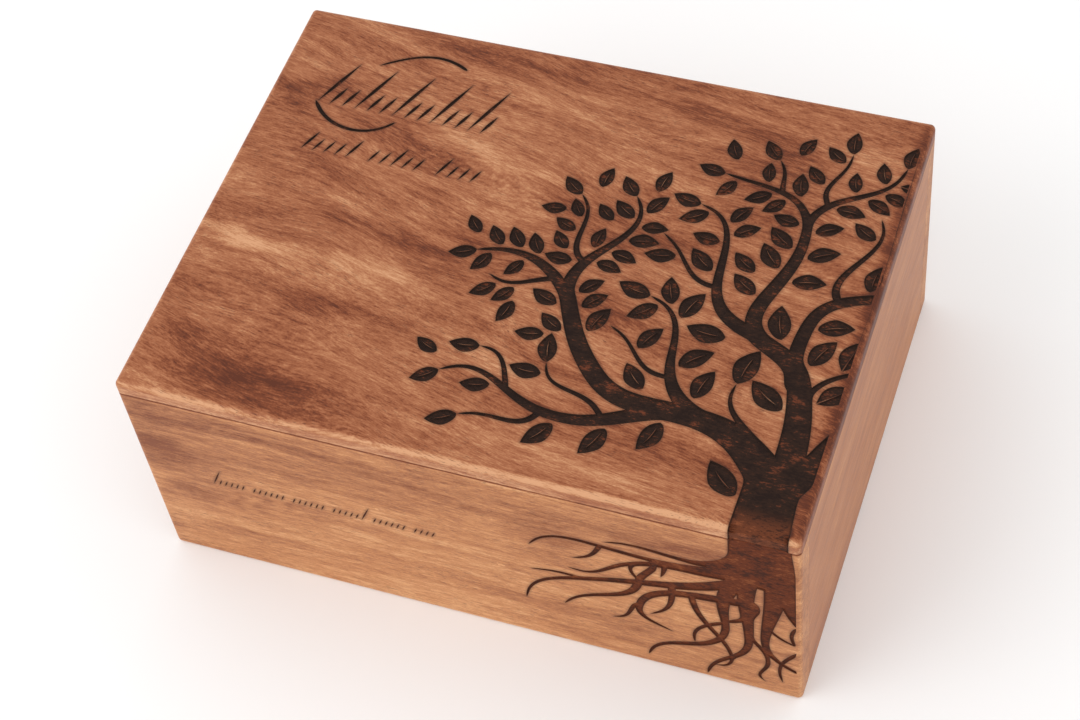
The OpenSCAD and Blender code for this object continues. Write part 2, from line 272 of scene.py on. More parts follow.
def smooth_run(line, rounds):
    """A run between two corners, with even points and its angles rounded off."""
    steps = norm(np.diff(line, axis=0), axis=1)
    at = np.concatenate(([0.0], np.cumsum(steps)))
    count = max(FEWEST_STEPS, round(at[-1] / OUTLINE_STEP))
    even = np.linspace(0, at[-1], count + 1)
    run = np.stack([np.interp(even, at, line[:, k]) for k in (0, 1)], 1)
    if rounds <= LEAF_ROUNDS:
        run = bulged(run, line, at, even)
    for _ in range(rounds if count > SHORT_RUN else SHORT_ROUNDS):
        run[1:-1] = 0.25 * run[:-2] + 0.5 * run[1:-1] + 0.25 * run[2:]
    return run


def bulged(run, line, at, even):
    """Moves the even points of a run from its chords onto the curve through its own points."""
    bends = np.zeros_like(line)
    for i in range(1, len(line) - 1):
        after = (line[i + 1] - line[i]) / (at[i + 1] - at[i])
        before = (line[i] - line[i - 1]) / (at[i] - at[i - 1])
        bends[i] = 2 * (after - before) / (at[i + 1] - at[i - 1])
    if len(line) > 2:
        bends[0], bends[-1] = bends[1], bends[-2]
    spots = np.clip(np.searchsorted(at, even, side="right") - 1, 0, len(line) - 2)
    reach = (even - at[spots]) * (at[spots + 1] - even) / 2
    bend = np.stack([np.interp(even, at, bends[:, k]) for k in (0, 1)], 1)
    return run - bend * reach[:, None]


def corners_of(line, closed):
    """Which points of a line are real corners. A small jog, two turns that cancel out, isn't."""
    if closed:
        line = np.concatenate((line[-2:-1], line))
    turns = turns_of(line)
    if not closed:
        turns = np.concatenate(([0.0], turns, [0.0]))
    spots = line[1:-1] if closed else line
    sharp = np.abs(turns) > OUTLINE_CORNER
    found = []
    for i in np.flatnonzero(sharp):
        beside = [j for j in (i - 1, (i + 1) % len(turns)) if sharp[j] and turns[j] * turns[i] < 0]
        if not any(norm(spots[j] - spots[i]) < JOG for j in beside):
            found.append(int(i))
    return found


def smooth_outline(line, rounds):
    """A chain with its corners kept and everything between them made smooth."""
    closed = np.allclose(line[0], line[-1])
    corners = corners_of(line, closed)
    if closed and corners:
        start = corners[0]
        line = np.concatenate((line[start:-1], line[: start + 1]))
        corners = [i - start for i in corners]
    stops = [0] + [i for i in corners if 0 < i < len(line) - 1] + [len(line) - 1]
    runs = [smooth_run(line[a : b + 1], rounds) for a, b in zip(stops, stops[1:])]
    return np.concatenate([runs[0]] + [run[1:] for run in runs[1:]])


def part_midrib(line):
    """A leaf's outline closed at its foot, and its midrib as a sliver of bare wood of its own."""
    body = line[:-1]
    for i, apex in enumerate(body):
        before, after = body[i - 1], body[(i + 1) % len(body)]
        reach = min(norm(apex - before), norm(apex - after))
        if norm(before - after) < MIDRIB_FOOT and reach > MIDRIB_REACH:
            foot = (before + after) / 2
            leaf = np.concatenate((body[i + 1 :], body[:i]))
            return np.concatenate((leaf, leaf[:1])), midrib(foot, apex)
    return line, None


def midrib(foot, apex):
    """A thin lens from a little above the foot of a leaf to the end of its midrib."""
    run = apex - foot
    across = np.array((-run[1], run[0]))
    ts = np.linspace(0, 1, MIDRIB_POINTS)
    bow = MIDRIB_BOW * np.sin(math.pi * ts)
    half = MIDRIB_PLUMP / 2 * np.sin(math.pi * ts**MIDRIB_LEAN)
    mid = foot + np.outer(MIDRIB_FROM + (1 - MIDRIB_FROM) * ts, run) + np.outer(bow, across)
    left, right = mid + np.outer(half, across), mid - np.outer(half, across)
    return np.concatenate((left, right[-2:0:-1], left[:1]))


def engraving(node, section, depth, keep):
    """The engraved outlines of a board, laid flat on its section and smoothed."""
    outlines = []
    for chain in rims(node, depth, keep):
        line = np.array([(p[0], section.flatten(p[1], p[2])) for p in chain])
        closed = np.allclose(line[0], line[-1])
        leaf, rib = part_midrib(line) if closed else (line, None)
        outlines.append(smooth_outline(leaf, OUTLINE_ROUNDS if rib is None else LEAF_ROUNDS))
        if rib is not None:
            outlines.append(rib)
    return outlines


# ---------- engraved faces ----------


class Engraved:
    """A board's face with its engraving, meshed flat and then laid on the section and sunk.

    points holds (x, v), depths how far each is sunk, shore how far it is from the nearest rim, and
    faces (three points, burnt or not).
    """

    def __init__(self, section, outlines, half_width):
        self.section = section
        self.half = half_width
        self.bottom, self.top = float(section.v[0]), float(section.v[-1])
        self.outlines = [self.reach_the_end(line) for line in outlines]
        loops = [np.concatenate((line, line[:1])) for line in self.outlines]
        self.segments = np.concatenate([np.hstack((a[:-1], a[1:])) for a in loops])
        self.rim_tree = self.tree_of_rims()
        self.mesh()

    def reach_the_end(self, line):
        """An open outline runs straight on to the end of the section."""
        if np.allclose(line[0], line[-1]):
            return line
        end = self.bottom if abs(line[0][1] - self.bottom) < abs(line[0][1] - self.top) else self.top
        return np.concatenate(([(line[0][0], end)], line, [(line[-1][0], end)]))

    def tree_of_rims(self):
        """The outlines as upright ribbons, to measure how far a place is from the nearest one."""
        points, quads = [], []
        for line in self.outlines:
            first = len(points)
            points += [(x, v, h) for x, v in line for h in (-1.0, 1.0)]
            quads += [(a, a + 2, a + 3, a + 1) for a in range(first, len(points) - 2, 2)]
        return BVHTree.FromPolygons(points, quads)

    def to_rim(self, x, v):
        return self.rim_tree.find_nearest((x, v, 0.0))[3]

    def crossings(self, v):
        """Where the outlines cross the line at v, in order."""
        x0, v0, x1, v1 = self.segments.T
        hit = (v0 > v) != (v1 > v)
        t = (v - v0[hit]) / (v1[hit] - v0[hit])
        return np.sort(x0[hit] + t * (x1[hit] - x0[hit]))

    def is_burnt(self, x, v):
        return bool(np.searchsorted(self.crossings(v), x) % 2)

    def ring_points(self, rings, burnt):
        """Rings of points beside each outline, on its burnt side or on its bare one."""
        found = []
        for line in self.outlines:
            run = line[2:] - line[:-2]
            across = np.stack((-run[:, 1], run[:, 0]), 1) / norm(run, axis=1)[:, None]
            mid = len(line) // 2
            probe = line[mid] + HAIR * across[mid - 1]
            side = 1 if self.is_burnt(*probe) == burnt else -1
            for ring in rings:
                for x, v in line[1:-1] + side * ring * across:
                    if self.inside(x, v) and self.to_rim(x, v) > RING_CLEAR * ring:
                        found.append((x, v))
        return found

    def inside(self, x, v):
        return abs(x) < self.half - HAIR and self.bottom + HAIR < v < self.top - HAIR

    def field_points(self, step, burnt, clear, reach=math.inf):
        """Points in rows on the burnt floor or on bare wood, between clear and reach from the rims."""
        found = []
        rows = np.arange(self.bottom + step / 2, self.top, step * ROW_STEP)
        for k, v in enumerate(rows):
            cuts = self.crossings(v)
            xs = np.arange(-self.half + step * (0.5 if k % 2 else 1.0), self.half, step)
            for x in xs[np.searchsorted(cuts, xs) % 2 == int(burnt)]:
                if self.inside(x, v) and clear < self.to_rim(x, v) < reach:
                    found.append((x, v))
        return found

    def mesh(self):
        """Meshes the flat face through its outlines, its ends and loose points between them."""
        points, edges = [], []

        def add(line):
            first = len(points)
            points.extend((float(x), float(v)) for x, v in line)
            edges.extend((first + i, first + i + 1) for i in range(len(line) - 1))

        for line in self.outlines:
            add(line)
        rims_end = len(edges)
        count = 2 + int(2 * self.half / WOOD_STEP)
        for v in self.section.v:
            add([(x, v) for x in np.linspace(-self.half, self.half, count)])
        inner = np.arange(0, self.top - self.bottom, WOOD_STEP)
        sides = sorted(set(np.round(np.concatenate((self.section.v, self.bottom + inner)), 6)))
        for x in (-self.half, self.half):
            add([(x, v) for v in sides])
        points += self.ring_points(SLOPE_RINGS, True)
        points += self.ring_points((SEARED,), False)
        points += self.field_points(FLOOR_STEP, True, FLOOR_CLEAR)
        points += self.field_points(SCORCH_STEP, False, 2 * SEARED, SCORCH_END)
        points += self.field_points(WOOD_STEP, False, SCORCH_END)
        flat = [Vector(p) for p in points]
        verts, links, faces, _, from_edges, _ = delaunay_2d_cdt(flat, edges, [], 0, SAME_POINT)
        self.points = np.array([tuple(p) for p in verts])
        from_rims = [any(i < rims_end for i in origin) for origin in from_edges]
        walls = {tuple(sorted(link)) for link, on_rim in zip(links, from_rims) if on_rim}
        self.faces = self.painted([tuple(f) for f in faces if not self.along_one_side(f)], walls)
        self.sink_floor(walls)

    def painted(self, faces, walls):
        """Each face with whether it is burnt: everything that one outline holds is alike."""
        beside = {}
        for k, face in enumerate(faces):
            for edge in edges_of(face):
                if edge not in walls:
                    beside.setdefault(edge, []).append(k)
        burnt = [None] * len(faces)
        for first in range(len(faces)):
            if burnt[first] is not None:
                continue
            burnt[first] = False
            group = [first]
            for k in group:
                for edge in edges_of(faces[k]):
                    for other in beside.get(edge, ()):
                        if burnt[other] is None:
                            burnt[other] = False
                            group.append(other)
            widest = max(group, key=lambda k: self.flat_area(faces[k]))
            if self.is_burnt(*self.points[list(faces[widest])].mean(0)):
                for k in group:
                    burnt[k] = True
        return list(zip(faces, burnt))

    def along_one_side(self, face):
        """A face of three points that all lie on one side of the rectangle is only rounding."""
        sides = ((0, -self.half), (0, self.half), (1, self.bottom), (1, self.top))
        corners = self.points[list(face)]
        return any(np.all(np.abs(corners[:, axis] - value) < WELD / 4) for axis, value in sides)

    def flat_area(self, face):
        a, b, c = self.points[list(face)]
        return abs((b[0] - a[0]) * (c[1] - a[1]) - (b[1] - a[1]) * (c[0] - a[0])) / 2

    def sink_floor(self, walls):
        """Sinks the burnt points: a slope from the rim down, and a floor that shows the grain."""
        on_rim = {i for edge in walls for i in edge}
        burnt = {i for face, is_burnt in self.faces if is_burnt for i in face}
        self.depths = np.zeros(len(self.points))
        self.shore = np.zeros(len(self.points))
        for i, (x, v) in enumerate(self.points):
            gap = 0.0 if i in on_rim else self.to_rim(x, v)
            self.shore[i] = gap if i in burnt else -gap
            if i in burnt and i not in on_rim:
                t = min(1.0, gap / SLOPE)
                fibre = noise.noise((x / FIBRE[0], v / FIBRE[1], 0.0))
                lump = noise.noise((x / LUMP, v / LUMP, LUMP_PLANE))
                rough = FLOOR_RELIEF * (FIBRE_SHARE * fibre + (1 - FIBRE_SHARE) * lump)
                self.depths[i] = t * t * (3 - 2 * t) * (BURN - FLOOR_RELIEF + rough)

    def edge(self, axis, value):
        """The points on one side of the flat rectangle, in order along it."""
        on = np.flatnonzero(np.abs(self.points[:, axis] - value) < ON_LINE)
        return on[np.argsort(self.points[on, 1 - axis])]

    def placed(self):
        """The points in space, laid on the section and sunk."""
        return [self.section.point(x, v, d) for (x, v), d in zip(self.points, self.depths)]


# ---------- boards ----------


class Board:
    """Collects the faces of one piece, each with how burnt it is, and makes the object."""

    def __init__(self):
        self.points, self.faces, self.burnt, self.shore = [], [], [], []

    def add_points(self, points, shore=None):
        first = len(self.points)
        self.points += [tuple(p) for p in points]
        self.shore += [-SHORE_FAR] * len(points) if shore is None else list(shore)
        return list(range(first, len(self.points)))

    def add_face(self, corners, burnt=0.0):
        self.faces.append(tuple(corners))
        self.burnt.append(burnt)

    def add_strips(self, rows, closed=False):
        """Quads between each row of points and the next."""
        for upper, lower in zip(rows, rows[1:]):
            count = len(upper)
            for i in range(count if closed else count - 1):
                j = (i + 1) % count
                self.add_face((upper[i], upper[j], lower[j], lower[i]))

    def add_engraved(self, engraved):
        first = self.add_points(engraved.placed(), engraved.shore)[0]
        for face, burnt in engraved.faces:
            self.add_face([first + i for i in face], float(burnt))

    def add_closed(self, rows):
        """A body with rows of points all round it and a face at each end."""
        self.add_strips(rows, closed=True)
        self.add_face(rows[0])
        self.add_face(rows[-1])

    def make(self, name, replaced):
        mesh = bpy.data.meshes.new(name)
        mesh.from_pydata(self.points, [], self.faces)
        for key, domain, values in (("burnt", "FACE", self.burnt), ("shore", "POINT", self.shore)):
            mesh.attributes.new(key, "FLOAT", domain).data.foreach_set("value", values)
        weld(mesh)
        mesh.shade_smooth()
        mesh.set_sharp_from_angle(angle=SHARP)
        piece = new_object(name, mesh)
        normals = piece.modifiers.new("even_shading", "WEIGHTED_NORMAL")
        normals.keep_sharp = True
        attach(piece, "root")
        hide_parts(replaced)
        return piece


def weld(mesh):
    """Joins the points that lie together, drops what collapses, and turns every face outward."""
    bm = bmesh.new()
    bm.from_mesh(mesh)
    bmesh.ops.remove_doubles(bm, verts=bm.verts, dist=WELD)
    bmesh.ops.dissolve_degenerate(bm, edges=bm.edges, dist=WELD / 4)
    bmesh.ops.recalc_face_normals(bm, faces=bm.faces)
    bm.to_mesh(mesh)
    bm.free()


def ring_point(place, inset, z):
    """The point at height z that lies inset from the outside, at one place round the box.

    A place is (x, y, dx, dy): the point inside the corner rounding, and the way out from it.
    """
    x, y, dx, dy = place
    if inset <= CORNER:
        return x + (CORNER - inset) * dx, y + (CORNER - inset) * dy, z
    far_x, far_y = HALF_W - inset, HALF_D - inset
    return max(-far_x, min(far_x, x)), max(-far_y, min(far_y, y)), z


def corner_places(sx, sy, start):
    """The places round one upright corner, from the heading start on, turning left."""
    x, y = sx * (HALF_W - CORNER), sy * (HALF_D - CORNER)
    turns = [math.radians(start + 90 * i / ARC_STEPS) for i in range(ARC_STEPS + 1)]
    return [(x, y, math.cos(a), math.sin(a)) for a in turns]


def build_lid():
    section = lid_section()
    above_seam = SEAM + PAST_EASE
    outlines = engraving("lid", section, lid_depth, lambda a, b: max(a[2], b[2]) > above_seam)
    face = Engraved(section, outlines, HALF_W - TOP_ROUND)
    board = Board()
    board.add_engraved(face)
    place_of = face.placed()
    flat = HALF_D - TOP_ROUND

    # The places go round from the front right corner to the front left one.
    right = [i for i in face.edge(0, face.half) if face.points[i][1] > -WELD]
    back = face.edge(1, face.top)[::-1]
    left = [i for i in face.edge(0, -face.half) if face.points[i][1] > -WELD][::-1]
    inner = CORNER - HALF_D
    places = [(face.half, inner, 0, -1)] + corner_places(1, -1, -90)
    places += [(HALF_W - CORNER, place_of[i].y, 1, 0) for i in right]
    places += corner_places(1, 1, 0)
    places += [(place_of[i].x, flat + TOP_ROUND - CORNER, 0, 1) for i in back]
    places += corner_places(-1, 1, 90)
    places += [(CORNER - HALF_W, place_of[i].y, -1, 0) for i in left]
    places += corner_places(-1, -1, 180) + [(-face.half, inner, 0, -1)]
    profile = [(y + HALF_D, z) for y, z in section.points[:-1]][::-1]
    rows = [board.add_points([ring_point(p, inset, z) for p in places]) for inset, z in profile]
    board.add_strips(rows)

    # The underside and the tongue go all the way round.
    front = [place_of[i] for i in face.edge(1, face.bottom)]
    around = places + [(p.x, inner, 0, -1) for p in front[1:-1]]
    tongue = WALL + TONGUE_GAP
    below = [(BURN + 2 * EASE, SEAM), (tongue, SEAM), (tongue, TONGUE + EASE), (tongue + EASE, TONGUE)]
    lower_rows = [rows[-1] + board.add_points(front[1:-1])]
    for inset, z in below:
        lower_rows.append(board.add_points([ring_point(p, inset, z) for p in around]))
    board.add_strips(lower_rows, closed=True)
    board.add_face(lower_rows[-1])
    return board.make("lid_with_tree", "lid")


def wall_rows():
    """Inset and height of each row of points round the foot of a wall, and of those at the seam."""
    foot = [(FOOT - FOOT * math.sin(a), FOOT - FOOT * math.cos(a)) for a in quarter(ARC_STEPS)]
    low = SEAM - EASE
    return foot, [(EASE - EASE * math.cos(a), low + EASE * math.sin(a)) for a in quarter(EASE_STEPS)]


def end_places(sx, sy, inner_y):
    """The places down one end of a front or back board, from its inner edge to the corner rounding."""
    x = sx * (HALF_W - CORNER)
    return [(x - sx * JOINT_EASE, inner_y, sx, 0), (x, inner_y + sy * JOINT_EASE, sx, 0)]


def build_front():
    section = front_section()

    def on_face(a, b):
        across = max(abs(a[0]), abs(b[0])) < HALF_W - CORNER + WELD
        return across and FOOT < min(a[2], b[2]) < SEAM - PAST_EASE

    outlines = engraving("front_board", section, front_depth, on_face)
    face = Engraved(section, outlines, HALF_W - CORNER)
    board = Board()
    board.add_engraved(face)
    place_of = face.placed()
    inner_y = WALL - HALF_D
    left = end_places(-1, -1, inner_y) + corner_places(-1, -1, 180)
    right = corner_places(1, -1, 270) + end_places(1, -1, inner_y)[::-1]

    # Beside the engraved face, each end has rows where that face has points.
    columns, tops = [], []
    for side, places in ((-1, left), (1, right)):
        rows = []
        for i in face.edge(0, side * face.half):
            inset, z = place_of[i].y + HALF_D, place_of[i].z
            rows.append(board.add_points([ring_point(p, inset, z) for p in places]))
        board.add_strips(rows)
        columns.append([row[0 if side < 0 else -1] for row in rows])
        tops.append(rows[-1])

    # The foot runs round both ends and the front.
    foot_row = face.edge(1, face.bottom)[1:-1]
    around = left + [(place_of[i].x, CORNER - HALF_D, 0, -1) for i in foot_row] + right
    rows = [board.add_points([ring_point(p, *row) for p in around]) for row in wall_rows()[0]]
    board.add_strips(rows)
    board.add_face(rows[0])
    seam_row = board.add_points([place_of[i] for i in face.edge(1, face.top)[1:-1]])
    board.add_face(tops[0] + seam_row + tops[1])
    inner_left = [row[0] for row in rows] + columns[0]
    inner_right = [row[-1] for row in rows] + columns[1]
    board.add_face(inner_left + inner_right[::-1])
    return board.make("front_with_roots", "front_board")


def build_wall(name, places, replaced):
    """A plain wall board, from the places round it."""
    board = Board()
    foot, seam = wall_rows()
    rows = [board.add_points([ring_point(p, *row) for p in places]) for row in foot + seam]
    board.add_closed(rows)
    return board.make(name, replaced)


def build_back():
    inner_y = HALF_D - WALL
    right = end_places(1, 1, inner_y) + corner_places(1, 1, 0)
    left = corner_places(-1, 1, 90) + end_places(-1, 1, inner_y)[::-1]
    return build_wall("back", right + left, "back_board")


def build_side(name, side, replaced):
    end = HALF_D - WALL
    x, inner_x = side * (HALF_W - CORNER), side * (HALF_W - WALL)
    eased = x - side * JOINT_EASE
    places = [(eased, end, side, 0), (x, end - JOINT_EASE, side, 0)]
    places += [(x, JOINT_EASE - end, side, 0), (eased, -end, side, 0)]
    places += [(inner_x, -end, 0, 0), (inner_x, end, 0, 0)]
    return build_wall(name, places, replaced)


def build_bottom():
    """The bottom, let in between the walls."""
    board = Board()
    x, y = bottom_hi.x, bottom_hi.y
    rows = []
    for inset, z in ((JOINT_EASE, 0), (0, JOINT_EASE), (0, bottom_hi.z)):
        a, b = x - inset, y - inset
        rows.append(board.add_points([(-a, -b, z), (a, -b, z), (a, b, z), (-a, b, z)]))
    board.add_closed(rows)
    return board.make("bottom", "bottom_panel")


# ---------- materials ----------


def colour(r, g, b):
    """A colour given as 0 to 255 on a screen, as the shader wants it."""
    screen = [c / 255 for c in (r, g, b)]
    linear = [c / 12.92 if c <= 0.04045 else ((c + 0.055) / 1.055) ** 2.4 for c in screen]
    return (*linear, 1.0)


# Places and sizes from here on are in millimetres, turns in degrees.
GRAIN_BEND = (120, 48)  # length and width of the bends in the grain
PORE = (3.2, 0.34)  # length and width of a pore
PORE_SHARP = (0.6, 0.72)  # where the noise becomes a pore
PORE_FIELD = (40, 9)  # length and width of the places that have pores
FIELD_SHARP = (0.38, 0.6)
PORE_DARK = 0.55  # how strongly a pore darkens the wood
PORE_DEEP = -0.8  # its depth, and the height of a fibre, in the relief of the finish
FIBRE_HIGH = 0.5
WOOD_ROUGH = (0.3, 0.3)  # roughness: a share of the fibre noise, and what is added
LAYER_SHIFT = 3.7  # each pattern comes from another stretch of the noise
PORE_SHIFT = 31
FIELD_SHIFT = 57
CLOUD_DEPTH = 60  # how deep a patch of another shade reaches
CLOUD_FADE = (0.1, 1.25)  # it fades between these shares of its size
CLOUD_SWAY = (30, 12)  # length and width of the waves along the patches' edges
LID_DRIFT = (26.0, 12.0, 0.0)  # how far those waves shift them on the lid
FRONT_DRIFT = (26.0, 7.0, 0.0)  # and on the front
FRONT_LIFT = 0.08  # how much paler the whole front is
WEAR = 0.3  # how much paler a worn edge is
PLAIN_WEAR = 0.25
PLAIN_PORES = 0.4  # strength of the pores on the plain boards
WEAR_SCALE = 0.09  # scale of the noise that sets how far the wear reaches
WEAR_REACH = (7.0, -1.6)  # a share of that noise, and what is added
# Painted shade: a dark line painted along the seam, where shade falls in the joint under the lid.
PAINTED_SEAM_REACH = (0.8, 0.2)  # how far from the seam its dark line begins and is full
PAINTED_SEAM_SHADE = 0.8  # how much darker it is
# The band on the lid's front rounding, worn wood with a painted highlight, sets in across its y and z
# spans and grows along its x span.
WEAR_AND_HIGHLIGHT_X = (-110, 95)
WEAR_AND_HIGHLIGHT_Y = (-93.4, -94.8)
WEAR_AND_HIGHLIGHT_Z = (105.6, 107.0)
# how much paler that band is at each end of its x span: worn wood and a painted highlight
WEAR_AND_HIGHLIGHT_LIFT = (0.06, 0.42)
# The front rim below it grows paler across RIM_Y. Waves shift the borders of both.
RIM_Y = (-94.6, -95.8)
RIM_LIFT = 0.2
WAVE = (30, 3)
WAVE_REACH = 1.6

# Layers of the figure in the wood: length and width of their features, and their weight.
LAYERS = (
    ("figure", 110, 20, 0.75),
    ("band", 46, 6, 0.55),
    ("streak", 15, 2.1, 0.62),
    ("fibre", 4.2, 0.55, 0.85),
    ("speck", 0.9, 0.4, 0.45),
)

BUMP = 0.03 * MM  # height of the relief in the finish, in metres
GLOSS = 0.22  # specular level
PORE_SHADE = colour(74, 35, 21)
# Shades of the wood from dark to light: where each lies in the figure, then red, green and blue.
LID_PALETTE = (
    (0.02, 90, 40, 18), (0.24, 123, 62, 33), (0.42, 149, 86, 53),
    (0.60, 168, 105, 70), (0.78, 187, 128, 89), (1.00, 210, 155, 115),
)
FRONT_PALETTE = (
    (0.02, 126, 66, 34), (0.25, 152, 92, 55), (0.45, 172, 111, 71),
    (0.62, 187, 125, 80), (0.80, 200, 139, 92), (1.00, 216, 160, 112),
)
SIDE_PALETTE = (
    (0.02, 128, 73, 44), (0.28, 163, 104, 71), (0.50, 180, 119, 81),
    (0.72, 192, 133, 91), (1.00, 215, 160, 115),
)

# Patches of the lid: x, y, half length, half width, slope, how much lighter.
LID_CLOUDS = (
    (-45, 87, 46, 7, -8, -0.32), (-81, -80, 46, 14, -6, -0.42), (-110, -66, 20, 5, -8, -0.20),
    (-115, 52, 14, 7, 0, -0.16), (-52, -8, 38, 5, -12, -0.28), (-61, -44, 52, 8, -10, -0.30),
    (77, 66, 24, 16, 0, -0.28), (53, 18, 20, 11, 0, -0.20), (48, 79, 34, 6, -8, -0.14),
    (-15, -78, 20, 5, 0, -0.16), (73, -74, 28, 7, -4, -0.12), (-27, 38, 36, 6, -12, 0.36),
    (-105, -22, 26, 6, -4, 0.40), (-51, -24, 26, 8, -8, 0.24), (-117, 64, 18, 7, 0, 0.20),
    (33, 44, 28, 9, -10, 0.16), (107, -44, 16, 18, 0, 0.24), (69, -14, 16, 9, 0, 0.16),
    (3, -54, 22, 9, -6, 0.14), (-20, 8, 30, 7, -10, 0.16), (-60, 78, 46, 14, -8, -0.12),
    (-35, 22, 56, 14, -6, 0.14), (52, -45, 16, 18, 0, 0.12), (100, -70, 18, 20, 0, -0.16),
)
# The knot beside the trunk, and the dark band along the right edge: partly its darker grain, partly
# painted shade on the rounding there, which faces away from the light.
LID_KNOT_AND_EDGE_SHADE = (
    (121.5, -92.5, 2.2, 2.6, 0, -0.7), (126, 0, 5, 150, 0, -0.45), (121, -76, 7, 22, 0, -0.30),
)
# Patches of the front, with the height in place of y.
FRONT_CLOUDS = (
    (-82, 91, 84, 3.2, 1.5, -0.30), (-110, 97, 60, 8, 0, -0.22), (-120, 70, 14, 16, 0, -0.22),
    (-108, 43, 17, 8, 0, -0.40), (-89, 45, 3, 9, 0, -0.22), (-80, 47, 3, 12, 0, -0.18),
    (-70, 50, 3, 8, 0, -0.16), (84, 90, 30, 15, 0, -0.18), (36, 74, 20, 13, 0, -0.26),
    (56, 14, 26, 6, 0, -0.24), (-118, 24, 16, 9, 0, 0.24), (-56, 26, 46, 3, 0, 0.24),
    (-30, 10, 120, 14, 0, 0.24), (-110, 76, 28, 26, 0, -0.18), (-50, 33, 76, 13, 0, 0.22),
    (-50, 98, 36, 8, 0, 0.14), (110, 68, 26, 26, 0, -0.18),
)

# Burnt wood: where its tones lie in the mottle, which has patches and flecks this long and wide.
COAL_STOPS = (0.38, 0.47, 0.59, 0.76)
PATCH = (9, 6)
FLECK = (1.7, 0.55)
FLECK_SHARE = 0.95
SCORCH = 0.34  # strength of the browning, of the seared line and of the band inside the rim
SEAR = 0.42
RIM_CHAR = 0.8
RIM_BAND = 0.9 * MM  # width of that band, in metres as the shore is
BURNT_ROUGH = 0.82
# The tones: deep, middle, and where the wood shows through.
FRESH = (colour(30, 13, 6), colour(42, 23, 13), colour(106, 53, 30))
FADED = (colour(58, 29, 16), colour(98, 50, 27), colour(140, 77, 45))
ROOTS = (colour(62, 27, 12), colour(95, 42, 16), colour(130, 70, 36))
LID_RIM = colour(29, 14, 6)
FRONT_RIM = colour(62, 28, 13)
# Towards the back of the lid more wood shows, and towards the front edge the burn is paler.
SHOWING_Y = (0.0, 90.0)
SHOWING = 0.07
FADED_Y = (-80.0, -89.0)
FADED_EDGE = 9.0  # how far the mottle shifts that border


class Nodes:
    """A material's node tree, with a short way to add each kind of node."""

    def __init__(self, name):
        self.material = bpy.data.materials.new(name)
        self.material.use_nodes = True
        self.tree = self.material.node_tree
        self.tree.nodes.clear()

    def put(self, socket, value):
        if isinstance(value, bpy.types.NodeSocket):
            self.tree.links.new(value, socket)
        elif value is not None:
            socket.default_value = value

    def add(self, kind, inputs=(), out=0, **settings):
        node = self.tree.nodes.new("ShaderNode" + kind)
        for key, value in settings.items():
            setattr(node, key, value)
        for key, value in dict(inputs).items():
            self.put(node.inputs[key], value)
        return node.outputs[out] if node.outputs else None

    def math(self, operation, a, b=None, c=None, clamp=False):
        return self.add("Math", {0: a, 1: b, 2: c}, operation=operation, use_clamp=clamp)

    def mix(self, factor, a, b):
        return self.add("Mix", {0: factor, 6: a, 7: b}, out=2, data_type="RGBA")

    def step(self, value, low, high, to_low=0.0, to_high=1.0):
        """A smooth step from low to high."""
        inputs = {0: value, 1: low, 2: high, 3: to_low, 4: to_high}
        return self.add("MapRange", inputs, interpolation_type="SMOOTHSTEP")

    def noise(self, vector, scale=1.0, detail=2.0, rough=0.5):
        inputs = {"Vector": vector, "Scale": scale, "Detail": detail, "Roughness": rough}
        return self.add("TexNoise", inputs)

    def ramp(self, value, stops):
        """A colour ramp through (place, colour) stops."""
        node = self.tree.nodes.new("ShaderNodeValToRGB")
        line = node.color_ramp.elements
        while len(line) < len(stops):
            line.new(0.5)
        for element, (place, shade) in zip(line, stops):
            element.position, element.color = place, shade
        self.put(node.inputs[0], value)
        return node.outputs[0]

    def finish(self, shade, rough, height):
        normal = self.add("Bump", {"Height": height, "Distance": BUMP, "Strength": 1.0})
        inputs = {"Base Color": shade, "Roughness": rough, "Normal": normal, "Specular IOR Level": GLOSS}
        self.add("OutputMaterial", {"Surface": self.add("BsdfPrincipled", inputs)})
        return self.material


def in_millimetres(nodes, turn=(0.0, 0.0, 0.0)):
    """The place in the frame in millimetres, after a turn in degrees."""
    turn = [math.radians(angle) for angle in turn]
    place = nodes.add("TexCoord", out=3)
    return nodes.add("Mapping", {"Vector": place, "Scale": (1 / MM,) * 3, "Rotation": turn})


def stretched(nodes, vector, along, across, shift=0.0):
    """The same coordinates, so that noise of scale 1 has features this long and this wide."""
    inputs = {"Vector": vector, "Scale": (1 / along, 1 / across, 1 / across), "Location": (shift,) * 3}
    return nodes.add("Mapping", inputs)


def swayed(nodes, vector, pattern, reach):
    """Coordinates shifted by up to about half of reach, each axis in its own way."""
    shift = nodes.add("TexNoise", {"Vector": pattern, "Scale": 1.0, "Detail": 2.0}, out=1)
    shift = nodes.add("VectorMath", {0: shift, 1: (0.5, 0.5, 0.5)}, operation="SUBTRACT")
    shift = nodes.add("VectorMath", {0: shift, 1: reach}, operation="MULTIPLY")
    return nodes.add("VectorMath", {0: vector, 1: shift}, operation="ADD")


def with_clouds(nodes, place, figure, level, clouds):
    """Adds soft patches to the figure of a face at this level."""
    for x, y, along, across, slope, lift in clouds:
        inputs = {"Vector": place, "Location": (x, y, level), "Rotation": (0, 0, math.radians(slope))}
        inputs["Scale"] = (along, across, CLOUD_DEPTH)
        near = nodes.add("Mapping", inputs, vector_type="TEXTURE")
        reach = nodes.add("VectorMath", {0: near}, out=1, operation="LENGTH")
        figure = nodes.math("ADD", figure, nodes.step(reach, *CLOUD_FADE, lift, 0.0))
    return figure


